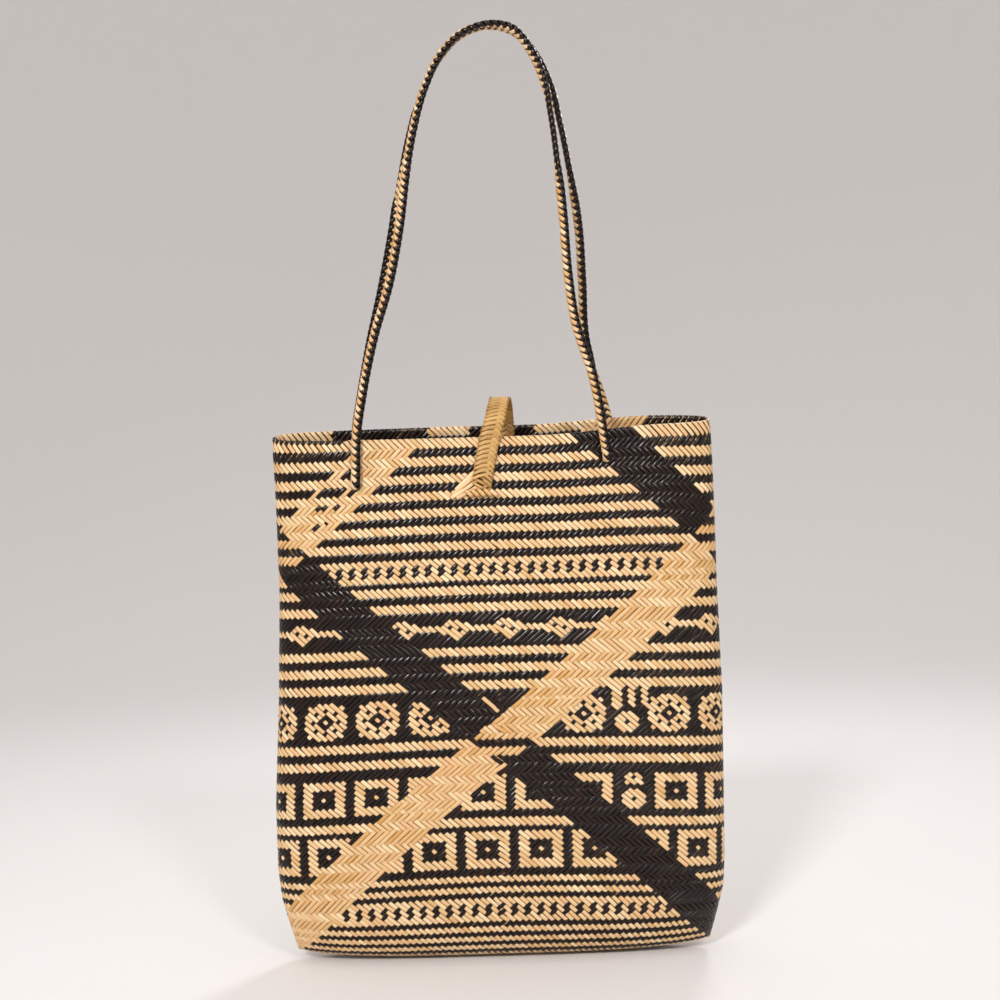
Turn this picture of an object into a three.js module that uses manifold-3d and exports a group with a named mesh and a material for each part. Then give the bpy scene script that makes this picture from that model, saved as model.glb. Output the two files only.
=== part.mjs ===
// Rattan shoulder bag: a plaited bag with an open mouth, hung by two long plaited handles.
// Millimetres, +Z up, +X to the right seen from the front, the front wall towards -Y.
// The origin is the point under both handles where a peg carries the bag.
import * as THREE from 'three';
import { mergeVertices } from 'three/addons/utils/BufferGeometryUtils.js';
import Module from 'manifold-3d';

const wasm = await Module();
wasm.setup();

// Body
const BAG_X = -6; // the bag hangs a little to the left of the peg
const RIM_Z = -278; // level of the rim at the left side corner
const WALL = 2; // two crossing strands
const RIM_WALL = 3.4; // double where the strands turn back inside the rim
const RIM_FOLD = 32; // how far down inside the strands are plaited back
const RIM_CROWN = 0.9; // height of the rounded edge above the rim line
const REAR_LIFT = 0.22; // the back of the rim hangs higher: rise for each millimetre of depth
const RIGHT_RISE = 4.5; // the right end of the rim hangs higher
const RISE_FROM = 30; // that rise begins here, right of the middle
const RISE_TO = 115;
const LIFT_FADE = 150; // drop below the rim at which the lean and the rise have gone
const BASE_SAG = 5.5; // the base hangs lower along its middle than at its corners
const SAG_POWER = 4; // how flat that middle is
const SAG_START = 240; // drop below the rim at which the rows begin to sag
const AROUND = 56; // facets round the bag
const DEPTH_PASSES = 6;

// Wall sections, from the rim down to where the wall turns under. The left side draws in
// above half height and bulges below it, so each section has a shift to the right of its own.
const WALL_SECTIONS = [
  { drop: 0, shift: 0.5, halfWidth: 151, halfDepth: 22, power: 3 },
  { drop: 12, shift: 0.8, halfWidth: 151.2, halfDepth: 23.2, power: 3 },
  { drop: 32, shift: 1.4, halfWidth: 151, halfDepth: 25.2, power: 3.05 },
  { drop: 64, shift: 1.9, halfWidth: 150.8, halfDepth: 28, power: 3.1 },
  { drop: 110, shift: 2.1, halfWidth: 150.6, halfDepth: 31, power: 3.2 },
  { drop: 180, shift: 1.6, halfWidth: 152.5, halfDepth: 33.8, power: 3.3 },
  { drop: 250, shift: -0.9, halfWidth: 154, halfDepth: 34, power: 3.3 },
  { drop: 293, shift: -1.2, halfWidth: 153.6, halfDepth: 32.6, power: 3.3 },
  { drop: 314, shift: -0.9, halfWidth: 151.9, halfDepth: 30, power: 3.3 },
];
const BASE_DROP = 351; // rim to base at the corners of the base
const TURN_IN_WIDTH = 10; // how far the sides slant in on their way to the corners
const TURN_IN_DEPTH = 22; // how far the turn brings in the front and back
const TURN_STEPS = 5;

// Handles
const HANDLE_WIDTH = 7;
const HANDLE_THICK = 4.5;
const HANDLE_SIDES = 8;
const HANDLE_STEPS_PER_POINT = 2;
const HANDLE_LAY = 0.9; // clearance between a handle and the wall it lies on
const PEG_OFFSET = 2.6; // each handle's distance from the middle plane on the peg
const KNOT_RADIUS = 5.5;
const KNOT_FLAT = 0.7; // height of the stop knot against its width
const KNOT_FACETS = { around: 10, high: 6 };
const PASSAGE_GAP = 0.5;
const PASSAGE_SIDES = 16;
const PASSAGE_LENGTH = 12;
const FIT_GAP = 0.5;
const END_RISE = 9; // height above its passage at which a handle lies along the wall
// A handle's turn from its passage up the wall: distance out from the wall and rise
const END_TURN = [
  { out: 1, rise: 0 },
  { out: 2.8, rise: 0.8 },
  { out: 3.6, rise: 2.8 },
];

// Where the handles hang, from the left end up over the peg and down to the right end
const FRONT_HANDLE = {
  side: -1,
  leftEnd: { x: -97.6, z: -313 },
  hang: [
    { x: -96.4, z: -280 },
    { x: -91.2, z: -248 },
    { x: -82.2, z: -209 },
    { x: -72.2, z: -177 },
    { x: -63.6, z: -135 },
    { x: -59, z: -102 },
    { x: -53, z: -70 },
    { x: -43.8, z: -39 },
    { x: -33.4, z: -18 },
    { x: -18.5, z: -2.5 },
    { x: 0, z: 3.5 },
    { x: 17, z: -0.5 },
    { x: 29.4, z: -16.5 },
    { x: 38, z: -39 },
    { x: 41.8, z: -62 },
    { x: 45.4, z: -98 },
    { x: 48.1, z: -135 },
    { x: 49.9, z: -172 },
    { x: 54.2, z: -207 },
    { x: 64.4, z: -243 },
    { x: 70, z: -280 },
  ],
  rightEnd: { x: 72.4, z: -299 },
};
const BACK_HANDLE = {
  side: 1,
  leftEnd: { x: -103, z: -303 },
  hang: [
    { x: -100.8, z: -272 },
    { x: -96, z: -246 },
    { x: -88.1, z: -209 },
    { x: -79.9, z: -177 },
    { x: -70.5, z: -135 },
    { x: -64.1, z: -102 },
    { x: -55.8, z: -70 },
    { x: -45.6, z: -39 },
    { x: -34.3, z: -18 },
    { x: -19, z: -2.5 },
    { x: 0, z: 3.5 },
    { x: 18.5, z: -1 },
    { x: 32.8, z: -17 },
    { x: 43, z: -40 },
    { x: 48.5, z: -63 },
    { x: 54.6, z: -98 },
    { x: 59.6, z: -135 },
    { x: 61.2, z: -172 },
    { x: 62.6, z: -213 },
    { x: 71.2, z: -247 },
    { x: 78, z: -272 },
  ],
  rightEnd: { x: 84, z: -299 },
};

// Closure strap, from its end inside the back wall to its tip on the front wall
const STRAP_WIDTH = 14.5;
const STRAP_THICK = 2.4;
const STRAP_LAY = 0.55; // clearance between the strap and the wall it lies on
const STRAP_STEPS_PER_POINT = 2;
const STRAP_INSIDE = [
  { x: 4.6, z: -316 },
  { x: 4.3, z: -305 },
  { x: 4, z: -292 },
  { x: 3.7, z: -278 },
];
const STRAP_ARCH = [
  { x: 3.3, y: 15.4, z: -267 },
  { x: 2.5, y: 8.5, z: -257 },
  { x: 1.1, y: -4, z: -254.6 },
  { x: -0.8, y: -15.5, z: -261 },
  { x: -3.2, y: -23.4, z: -271.5 },
];
const STRAP_OUTSIDE = [
  { x: -7, z: -284 },
  { x: -9.2, z: -294 },
  { x: -11.6, z: -306 },
  { x: -14, z: -320.5 },
];

// Keeper that bridges the tip of the closure strap on the front wall
const KEEPER_X = -13.3;
const KEEPER_Z = -316;
const KEEPER_HALF_SPAN = 10.2;
const KEEPER_WIDTH = 4.6;
const KEEPER_THICK = 1.6;
const KEEPER_RAMP = 0.26; // share of each half in which it climbs from the wall
const KEEPER_STEPS = 12;

const NATURAL_RATTAN = { color: 0xdcb478, roughness: 0.5, metalness: 0 };
const DARK_RATTAN = { color: 0x1d1512, roughness: 0.42, metalness: 0 };

// A closed geometry as a solid that can be joined and cut
function solidOf(geometry) {
  const bare = geometry.clone();
  bare.deleteAttribute('normal');
  bare.deleteAttribute('uv');
  const merged = mergeVertices(bare);
  return new wasm.Manifold(new wasm.Mesh({
    numProp: 3,
    vertProperties: new Float32Array(merged.attributes.position.array),
    triVerts: new Uint32Array(merged.index.array),
  }));
}

function geometryOf(solid) {
  const { vertProperties, triVerts } = solid.getMesh();
  const geometry = new THREE.BufferGeometry();
  geometry.setAttribute('position', new THREE.BufferAttribute(new Float32Array(vertProperties), 3));
  geometry.setIndex(new THREE.BufferAttribute(new Uint32Array(triVerts), 1));
  geometry.computeVertexNormals();
  return geometry;
}

function piece(name, geometry, finish) {
  const mesh = new THREE.Mesh(geometry, new THREE.MeshStandardMaterial(finish));
  mesh.name = name;
  return mesh;
}

// The wall's sections followed by those of the quarter turn into the base
function bodySections() {
  const last = WALL_SECTIONS[WALL_SECTIONS.length - 1];
  const turn = [];
  for (let step = 1; step <= TURN_STEPS; step += 1) {
    const angle = (step / TURN_STEPS) * (Math.PI / 2);
    const down = Math.sin(angle);
    turn.push({
      drop: last.drop + (BASE_DROP - last.drop) * down,
      shift: last.shift,
      halfWidth: last.halfWidth - TURN_IN_WIDTH * down,
      halfDepth: last.halfDepth - TURN_IN_DEPTH * (1 - Math.cos(angle)),
      power: last.power,
    });
  }
  return [...WALL_SECTIONS, ...turn];
}

const SECTIONS = bodySections();

function sectionAt(drop) {
  const below = SECTIONS.findIndex((row) => row.drop >= drop);
  if (below <= 0) return SECTIONS[0];
  const upper = SECTIONS[below - 1];
  const lower = SECTIONS[below];
  const share = (drop - upper.drop) / (lower.drop - upper.drop);
  const mix = (column) => THREE.MathUtils.lerp(upper[column], lower[column], share);
  return {
    shift: mix('shift'),
    halfWidth: mix('halfWidth'),
    halfDepth: mix('halfDepth'),
    power: mix('power'),
  };
}

function wallThickness(drop) {
  return THREE.MathUtils.lerp(RIM_WALL, WALL, Math.min(drop / RIM_FOLD, 1));
}

function leanAt(drop) {
  return REAR_LIFT * Math.max(1 - drop / LIFT_FADE, 0);
}

function riseAt(x, drop) {
  const share = THREE.MathUtils.smoothstep(x, RISE_FROM, RISE_TO);
  return RIGHT_RISE * share * Math.max(1 - drop / LIFT_FADE, 0);
}

// Height of a point of the section that lies at this drop below the rim
function levelOf(x, y, { drop, shift, halfWidth }) {
  const sagShare = THREE.MathUtils.smoothstep(drop, SAG_START, BASE_DROP);
  const sag = BASE_SAG * sagShare * (1 - ((x - shift) / halfWidth) ** SAG_POWER);
  return RIM_Z - drop + leanAt(drop) * y + riseAt(x, drop) - sag;
}

// One superellipse section of the body, brought in by inset and raised by lift
function bodyLoop(section, inset, lift) {
  const { shift, halfWidth, halfDepth, power } = section;
  const loop = [];
  for (let k = 0; k < AROUND; k += 1) {
    const angle = (k / AROUND) * 2 * Math.PI;
    const along = (value) => Math.sign(value) * Math.abs(value) ** (2 / power);
    const x = shift + (halfWidth - inset) * along(Math.cos(angle));
    const y = (halfDepth - inset) * along(Math.sin(angle));
    loop.push(new THREE.Vector3(BAG_X + x, y, levelOf(x, y, section) + lift));
  }
  return loop;
}

// Outer loops from the rim down, inner loops from the base up, joined as one closed wall
function bodyGeometry() {
  const outer = SECTIONS.map((row) => bodyLoop(row, 0, 0));
  const inner = SECTIONS.map((row) => {
    const floorRise = row.drop > WALL_SECTIONS.at(-1).drop ? WALL : 0;
    return bodyLoop(row, wallThickness(row.drop), floorRise);
  }).reverse();
  const crown = bodyLoop(SECTIONS[0], RIM_WALL / 2, RIM_CROWN);
  const loops = [crown, ...outer, ...inner];
  const turnedUnder = outer.length;
  const triangles = [];
  const at = (row, k) => (row % loops.length) * AROUND + ((k + AROUND) % AROUND);
  for (let row = 0; row < loops.length; row += 1) {
    if (row === turnedUnder) continue;
    for (let k = 0; k < AROUND; k += 1) {
      triangles.push(at(row, k), at(row + 1, k), at(row + 1, k + 1));
      triangles.push(at(row, k), at(row + 1, k + 1), at(row, k + 1));
    }
  }
  for (let k = 0; k < AROUND / 2; k += 1) {
    const under = (index) => at(turnedUnder, index);
    const floor = (index) => at(turnedUnder + 1, index);
    const quad = (corner) => [corner(k), corner(k + 1), corner(-k - 1), corner(-k)];
    const [a, b, c, d] = quad(under);
    const [e, f, g, h] = quad(floor);
    if (k > 0) triangles.push(a, d, b, e, f, h);
    if (k < AROUND / 2 - 1) triangles.push(b, d, c, f, g, h);
  }
  const positions = loops.flat().flatMap((point) => point.toArray());
  const geometry = new THREE.BufferGeometry();
  geometry.setAttribute('position', new THREE.Float32BufferAttribute(positions, 3));
  geometry.setIndex(triangles);
  return geometry;
}

// Depth of the wall's outer face, or of a face inset from it, at this place on one side.
// The lean of the rows depends on the depth, so the two are worked out in turn.
function wallDepth(x, z, side, inset = 0) {
  let y = 0;
  for (let pass = 0; pass < DEPTH_PASSES; pass += 1) {
    const lift = leanAt(RIM_Z - z) * y + riseAt(x - BAG_X, RIM_Z - z);
    const drop = Math.max(RIM_Z - z + lift, 0);
    const { shift, halfWidth, halfDepth, power } = sectionAt(drop);
    const share = Math.abs(x - BAG_X - shift) / (halfWidth - inset);
    y = side * (halfDepth - inset) * (1 - share ** power) ** (1 / power);
  }
  return y;
}

// A smooth route whose steps are shared out between its points, so tight turns get enough.
// Where a direction across the strap is given, the strap keeps to it and never rolls.
class Route extends THREE.CatmullRomCurve3 {
  constructor(points, across) {
    super(points, false, 'centripetal');
    this.across = across;
  }

  getUtoTmapping(u) {
    return u;
  }

  computeFrenetFrames(segments, closed) {
    const frames = super.computeFrenetFrames(segments, closed);
    if (!this.across) return frames;
    frames.tangents.forEach((tangent, k) => {
      const binormal = this.across.clone().projectOnPlane(tangent).normalize();
      frames.binormals[k].copy(binormal);
      frames.normals[k].crossVectors(binormal, tangent);
    });
    return frames;
  }
}

// An oval section, first axis across the strap's thickness, second along its width
function ovalShape(thick, width, sides) {
  const points = [];
  for (let k = 0; k < sides; k += 1) {
    const angle = (k / sides) * 2 * Math.PI;
    points.push(new THREE.Vector2((thick / 2) * Math.cos(angle), (width / 2) * Math.sin(angle)));
  }
  return new THREE.Shape(points);
}

// A flat section with its long edges eased
function bandShape(thick, width) {
  const edge = thick / 4;
  const h = thick / 2;
  const w = width / 2;
  return new THREE.Shape([
    new THREE.Vector2(-edge, -w),
    new THREE.Vector2(edge, -w),
    new THREE.Vector2(h, -w + h),
    new THREE.Vector2(h, w - h),
    new THREE.Vector2(edge, w),
    new THREE.Vector2(-edge, w),
    new THREE.Vector2(-h, w - h),
    new THREE.Vector2(-h, -w + h),
  ]);
}

function sweep(shape, points, stepsPerPoint, across) {
  return new THREE.ExtrudeGeometry(shape, {
    steps: (points.length - 1) * stepsPerPoint,
    extrudePath: new Route(points, across),
  });
}

// Places on a handle's end, from its stop knot through the wall and up the outer face
function endRoute({ x, z }, side, towards) {
  const wall = wallDepth(x, z, side);
  const knot = wallThickness(RIM_Z - z) + FIT_GAP + KNOT_RADIUS * KNOT_FLAT;
  const stand = HANDLE_THICK / 2 + HANDLE_LAY;
  const up = (rise) => {
    const share = rise / (towards.z - z);
    return THREE.MathUtils.lerp(x, towards.x, share);
  };
  const outward = (out, rise) => new THREE.Vector3(up(rise), wall + side * out, z + rise);
  const lying = wallDepth(up(END_RISE), z + END_RISE, side) + side * stand;
  return [
    outward(-knot, 0),
    outward(-knot / 2, 0),
    ...END_TURN.map(({ out, rise }) => outward(out, rise)),
    new THREE.Vector3(up(END_RISE), lying, z + END_RISE),
  ];
}

function handleGeometry({ side, leftEnd, hang, rightEnd }) {
  const stand = HANDLE_THICK / 2 + HANDLE_LAY;
  const left = hang[0];
  const right = hang[hang.length - 1];
  const peg = hang.find((row) => row.x === 0);
  const free = hang.map((row) => {
    const rim = row.x < 0 ? left : right;
    const atRim = Math.abs(wallDepth(rim.x, rim.z, side)) + stand;
    const share = (peg.z - row.z) / (peg.z - rim.z);
    return new THREE.Vector3(row.x, side * THREE.MathUtils.lerp(PEG_OFFSET, atRim, share), row.z);
  });
  const start = endRoute(leftEnd, side, left);
  const finish = endRoute(rightEnd, side, right).reverse();
  const shape = ovalShape(HANDLE_THICK, HANDLE_WIDTH, HANDLE_SIDES);
  const tube = sweep(shape, [...start, ...free, ...finish], HANDLE_STEPS_PER_POINT);
  const knots = [start[0], finish.at(-1)].map((centre) => {
    const knot = new THREE.SphereGeometry(KNOT_RADIUS, KNOT_FACETS.around, KNOT_FACETS.high);
    knot.scale(1, KNOT_FLAT, 1);
    knot.translate(centre.x, centre.y, centre.z);
    return solidOf(knot);
  });
  return geometryOf(solidOf(tube).add(knots[0]).add(knots[1]));
}

// Tool for the gap in the weave that a handle's end passes through
function passage({ x, z }, side) {
  const shape = ovalShape(HANDLE_WIDTH + 2 * PASSAGE_GAP, HANDLE_THICK + 2 * PASSAGE_GAP, PASSAGE_SIDES);
  const tool = new THREE.ExtrudeGeometry(shape, { depth: PASSAGE_LENGTH, bevelEnabled: false });
  tool.translate(0, 0, -PASSAGE_LENGTH / 2);
  tool.rotateX(Math.PI / 2);
  tool.translate(x, wallDepth(x, z, side), z);
  return solidOf(tool);
}

function bagBody() {
  let wall = solidOf(bodyGeometry());
  for (const { side, leftEnd, rightEnd } of [FRONT_HANDLE, BACK_HANDLE]) {
    wall = wall.subtract(passage(leftEnd, side)).subtract(passage(rightEnd, side));
  }
  return piece('bag_body', geometryOf(wall), NATURAL_RATTAN);
}

function closureStrap() {
  const clear = STRAP_LAY + STRAP_THICK / 2;
  const inside = STRAP_INSIDE.map(({ x, z }) => {
    const inset = wallThickness(Math.max(RIM_Z - z, 0)) + clear;
    return new THREE.Vector3(x, wallDepth(x, z, 1, inset), z);
  });
  const arch = STRAP_ARCH.map(({ x, y, z }) => new THREE.Vector3(x, y, z));
  const outside = STRAP_OUTSIDE.map(({ x, z }) => new THREE.Vector3(x, wallDepth(x, z, -1) - clear, z));
  const shape = bandShape(STRAP_THICK, STRAP_WIDTH);
  const route = [...inside, ...arch, ...outside];
  const strap = sweep(shape, route, STRAP_STEPS_PER_POINT, new THREE.Vector3(1, 0, 0));
  return piece('closure_strap', strap, NATURAL_RATTAN);
}

// A low bridge over the strap's tip, with both feet on the wall
function closureLoop() {
  const foot = STRAP_LAY + KEEPER_THICK / 2;
  const height = STRAP_LAY + STRAP_THICK + FIT_GAP + KEEPER_THICK / 2;
  const points = [];
  for (let step = 0; step <= KEEPER_STEPS; step += 1) {
    const share = (2 * step) / KEEPER_STEPS - 1;
    const x = KEEPER_X + KEEPER_HALF_SPAN * share;
    const rise = THREE.MathUtils.smoothstep(1 - Math.abs(share), 0, KEEPER_RAMP);
    const out = THREE.MathUtils.lerp(foot, height, rise);
    points.push(new THREE.Vector3(x, wallDepth(x, KEEPER_Z, -1) - out, KEEPER_Z));
  }
  const bridge = sweep(bandShape(KEEPER_THICK, KEEPER_WIDTH), points, 1, new THREE.Vector3(0, 0, 1));
  return piece('closure_loop', bridge, NATURAL_RATTAN);
}

const bag = new THREE.Group();
bag.add(
  bagBody(),
  piece('front_handle', handleGeometry(FRONT_HANDLE), DARK_RATTAN),
  piece('back_handle', handleGeometry(BACK_HANDLE), DARK_RATTAN),
  closureStrap(),
  closureLoop(),
);

export default bag;
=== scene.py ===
import bpy
import numpy as np
from mathutils import Matrix, Vector


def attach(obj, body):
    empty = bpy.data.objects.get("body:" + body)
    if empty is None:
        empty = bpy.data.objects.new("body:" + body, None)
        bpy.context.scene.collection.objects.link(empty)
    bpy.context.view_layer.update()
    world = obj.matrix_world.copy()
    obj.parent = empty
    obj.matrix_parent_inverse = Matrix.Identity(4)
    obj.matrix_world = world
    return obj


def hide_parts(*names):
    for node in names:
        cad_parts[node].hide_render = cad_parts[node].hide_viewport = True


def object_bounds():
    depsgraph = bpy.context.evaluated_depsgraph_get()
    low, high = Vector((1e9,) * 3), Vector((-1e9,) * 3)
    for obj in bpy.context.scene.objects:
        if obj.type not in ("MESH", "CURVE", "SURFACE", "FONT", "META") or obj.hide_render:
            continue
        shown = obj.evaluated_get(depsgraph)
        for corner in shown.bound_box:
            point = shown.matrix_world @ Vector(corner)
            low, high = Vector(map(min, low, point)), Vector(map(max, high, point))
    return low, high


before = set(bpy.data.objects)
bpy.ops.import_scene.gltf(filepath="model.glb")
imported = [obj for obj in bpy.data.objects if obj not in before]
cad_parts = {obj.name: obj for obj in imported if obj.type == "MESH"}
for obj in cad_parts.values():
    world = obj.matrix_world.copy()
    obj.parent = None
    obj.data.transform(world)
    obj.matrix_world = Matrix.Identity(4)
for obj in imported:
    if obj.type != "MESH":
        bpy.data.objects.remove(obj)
cad_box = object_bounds()

# Lengths are in millimetres until a mesh is made
MM = 0.001
TINY = 1e-9
SEED = 7

# Sides of the bag, by the sign of their depth, and the way that the front faces
FRONT = -1
BACK = 1
TO_FRONT = (0.0, -1.0, 0.0)

# The bag's wall, with the frame's own driving dimensions: its middle, its rim, the drop to its base, and its
# thickness, which is greater down to the end of the fold at the rim
BAG_X = -6.0
RIM_Z = -278.0
BASE_DROP = 351.0
WALL_THICK = 2.0
RIM_THICK = 3.4
RIM_FOLD = 32.0
# The rim lies higher towards the back and towards the right end. Both fade down the wall.
REAR_LIFT = 0.22
RIGHT_RISE = 4.5
RISE_FROM = 30.0
RISE_TO = 115.0
LIFT_FADE = 150.0
# The base sags between its corners
BASE_SAG = 5.5
SAG_START = 240.0
SAG_POWER = 4
# How far the outline draws in round the turn into the base, and then along the base
TURN_IN_WIDTH = 10.0
TURN_IN_DEPTH = 22.0
BASE_IN_WIDTH = 8.0
# How finely the wall is worked out, and the drop below which its columns close up at the corners
WALL_STEP = 1.0
TURN_STEPS = 40
BASE_STEPS = 10
OUTLINE_POINTS = 2401
DEPTH_PASSES = 6
LAST_EVEN_DROP = 290.0

# Drop below the rim, half width, half depth, squareness of the outline, shift to the right
WALL_SECTIONS = np.array([
    (0, 151, 22, 3, 0.5),
    (12, 151.2, 23.2, 3, 0.8),
    (32, 151, 25.2, 3.05, 1.4),
    (64, 150.8, 28, 3.1, 1.9),
    (110, 150.6, 31, 3.2, 2.1),
    (180, 152.5, 33.8, 3.3, 1.6),
    (250, 154, 34, 3.3, -0.9),
    (293, 153.6, 32.6, 3.3, -1.2),
    (314, 151.9, 30, 3.3, -0.9),
])

# The plait is a lattice. A place round the bag is counted in units from the middle of the front, to the
# right. Rows are counted down from the rim. A falling strand i lies at unit 2i + row, a rising strand j
# at 2j - row.
STRANDS = 152
QUARTER = STRANDS // 2
ROUND = 2 * STRANDS
COLUMNS_PER_UNIT = 2
LATTICE_SHIFT = -0.95
# A strand starts inside the bag, turns over the rim about the fold row and ends on the base
FIRST_ROW = -17
LAST_ROW = 190
FOLD_ROW = -0.75
FOLD_HALF = 0.7
FOLD_SAMPLES = 4

# Rows below the fold, then how far down the wall they lie at the middle of a face and at a side.
# Past the base drop the count goes on inwards along the base.
ROW_PLACES = np.array([
    (0.7, 0, 0),
    (4.75, 8.2, 12.4),
    (10.75, 20.2, 25.8),
    (14.75, 28, 34.3),
    (25.75, 49.4, 55.9),
    (36.75, 70.9, 75.7),
    (46.75, 90.4, 95),
    (70.75, 137.3, 141.2),
    (98.75, 190.1, 195),
    (120.75, 230.3, 237.5),
    (147.75, 278, 286.5),
    (165.5, 309.3, 319),
    (173.5, 324.4, 331.5),
    (184.5, 343, 347),
    (187.5, 347.6, 350.3),
    (190.75, 359, 359),
])

# One strand, how it rides over and under the ones that it crosses, and how deep it lies outside and inside
STRAND_WIDTH = 2.95
STRAND_THICK = 0.75
CROSSING_RISE = 0.4
OUTER_INSET = 1.0
INNER_INSET = 2.5
# What the hand leaves uneven: a strand's width, its lean about its own line, its sway in units, and its tone
WIDTH_SPREAD = 0.11
LEAN = np.radians(7.0)
LEAN_ROWS = (9.0, 16.0)
SWAY = 0.085
SWAY_ROWS = (7.0, 19.0)
FALLING_TONE = 0.05
RISING_TONE = 0.4
TONE_SPREAD = 0.6
MIDDLE_TONE = 0.5

# First and last strand of the dyed stripe among the falling strands and of the plain one among the rising
BLACK_FALLING = [(-57, -49), (14, 23)]
NATURAL_RISING = [(-20, -11), (50, 59)]
# Units of the back between which dyed strands fold in over the rim
DARK_FOLD = [(76, 118), (139, 147), (156, 160), (175, 206)]
# Units of the front between which dyed strands cover the first row too: painted shade for the top of the rim
# fold, which lies in shade there
SHADED_RIM_SPAN = [(229, 257)]
# Short dyed lengths laid over the plain stripe near the left handle: rising strand, first row, last row
BLACK_MENDS = [
    (-18, 9, 11), (-17, 9, 11), (-19, 15, 17), (-18, 15, 17), (-17, 15, 17), (-16, 15, 17), (-14, 15, 17),
    (-17, 21, 21), (-16, 21, 21), (-14, 21, 21), (-13, 25, 26), (-14, 28, 28),
]
# Short plain lengths laid over the dyed stripe where the two cross: falling strand, first row, last row
NATURAL_MENDS = [
    (-54, 104, 104), (-53, 103, 104), (-52, 102, 104), (-51, 102, 104), (-50, 102, 104), (-49, 102, 104),
]
MEND_RISE = 0.3
MEND_OVERRUN = 1

# Bands of the pattern from the rim down, and how many rows each takes
BANDS = [("natural", 3), ("black", 3)] * 7 + [
    ("upper_dots", 8), ("black", 2), ("natural", 3), ("black", 3), ("natural", 3), ("black", 3),
    ("diamonds", 10),
    ("natural", 3), ("black", 3), ("natural", 3), ("black", 3), ("natural", 3), ("black", 3),
    ("rosettes", 13), ("black", 2), ("natural", 3), ("black", 3), ("natural", 3), ("black", 4),
    ("upper_squares", 13), ("black", 3), ("natural", 3), ("black", 2),
    ("lower_squares", 13), ("black", 3), ("natural", 2), ("black", 2), ("natural", 2), ("black", 2),
    ("lower_dots", 8), ("black", 2), ("natural", 2), ("black", 2), ("natural", 2), ("black", 2),
    ("natural", 2), ("black", 2), ("natural", 2), ("black", 2),
]
BAND_ROWS = [name for name, rows in BANDS for _ in range(rows)]
BAND_TOP = {name: BAND_ROWS.index(name) for name, _ in BANDS}
# Rows after which the plain twill of the stripes and of the inside brings the other slant out
TWILL = 3

# Squares and rosettes: half their size, their pitch, and the unit of each one's middle
FIGURE_HALF = 6
FIGURE_PITCH = 16
FRAME_WIDTH = 3
UPPER_SQUARES = [*range(-68, 29, FIGURE_PITCH), *range(54, 215, FIGURE_PITCH)]
LOWER_SQUARES = [*range(-51, 238, FIGURE_PITCH)]
ROSETTES = [-68, -52, -36, -20, 26, *range(52, 213, FIGURE_PITCH)]
# A rosette's dark cells: steps from its middle to a ring, to four points and to its cut edges, and the units
# and rows to the four cells between the points
ROSETTE_RING = 2
ROSETTE_POINT = 4
ROSETTE_CUT = 10
ROSETTE_CELL = 3
# Small flowers: band, unit, row in the band, half size, and how far past that the steps to their corners go
FLOWERS = [
    ("upper_squares", 41, 1, 2),
    ("upper_squares", 41, 9, 3),
    ("rosettes", 39, 9, 3),
    ("rosettes", 224, 6, 3),
]
FLOWER_CUT = 2
# Teeth that hang from the stripe above the rosettes: first unit, last unit, first and last row in the band
COMB_TEETH = [(35, 37, -3, 4), (40, 41, -3, 3), (44, 45, -3, 3)]
# One falling strand that shows in the first rows of the rosettes' band
LONE_STRAND = -48
LONE_ROWS = 5
# The chain of diamonds: the unit of the first, the chain's row in the band, and its rows from there
FIRST_DIAMOND = -14
DIAMOND_ROW = 2
CHAIN_ROWS = (0, 1)
# Strand beside the first of a diamond, first row, last row
DIAMOND_STRANDS = [(-2, 0, 2), (-1, 0, 4), (0, -1, 3), (1, -2, 2), (2, -2, 1), (3, -1, 1)]
# Dark dots in a diamond: strand, row
DIAMOND_DOTS = [(0, 0), (1, 1)]
# Dotted bands: the unit of a dot in each, the units between dots, and the first and last row of dots
UPPER_DOT = 12
LOWER_DOT = 13
DOT_PITCH = 4
DOT_ROWS = (2, 5)

# Handles: where each hangs, from its left end in the wall, over the top, to its right end, as x, z
FRONT_HANDLE = [
    (-97.6, -313), (-96.4, -280), (-91.2, -248), (-82.2, -209), (-72.2, -177), (-63.6, -135), (-59, -102),
    (-53, -70), (-43.8, -39), (-33.4, -18), (-18.5, -2.5), (0, 3.5), (17, -0.5), (29.4, -16.5), (38, -39),
    (41.8, -62), (45.4, -98), (48.1, -135), (49.9, -172), (54.2, -207), (64.4, -243), (70, -280),
    (72.4, -299),
]
BACK_HANDLE = [
    (-103, -303), (-100.8, -272), (-96, -246), (-88.1, -209), (-79.9, -177), (-70.5, -135), (-64.1, -102),
    (-55.8, -70), (-45.6, -39), (-34.3, -18), (-19, -2.5), (0, 3.5), (18.5, -1), (32.8, -17), (43, -40),
    (48.5, -63), (54.6, -98), (59.6, -135), (61.2, -172), (62.6, -213), (71.2, -247), (78, -272), (84, -299),
]
TOP_OFFSET = 2.6
HANDLE_STAND = 3.15
KNOT_INSET = 4.35
END_RISE = 9.0
# A handle's turn from its passage up the wall: distance out from the wall and rise
END_TURN = [(1, 0), (2.8, 0.8), (3.6, 2.8)]
# Length from the left end, and turn of the plait about its own line in half turns: its dyed side is the outer
# one at 0, faces the front at 0.5 and is the inner one at 1
FRONT_TWIST = np.array([
    (50, 1), (80, 0.8), (178, 0.8), (200, 1), (235, 0.74), (320, 0.7), (345, 0.6), (370, 0.3), (410, 0.26),
    (435, 0.5), (470, 0.5), (495, 0.2), (520, 0),
])
BACK_TWIST = np.array([
    (50, 0), (80, 0.25), (188, 0.25), (206, -0.45), (222, -0.4), (250, -0.15), (270, 0.45), (345, 0.45),
    (370, 0.35), (415, 0.35), (435, 0.5), (465, 0.5), (495, 0.25), (600, 0.25), (632, 1),
])
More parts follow.
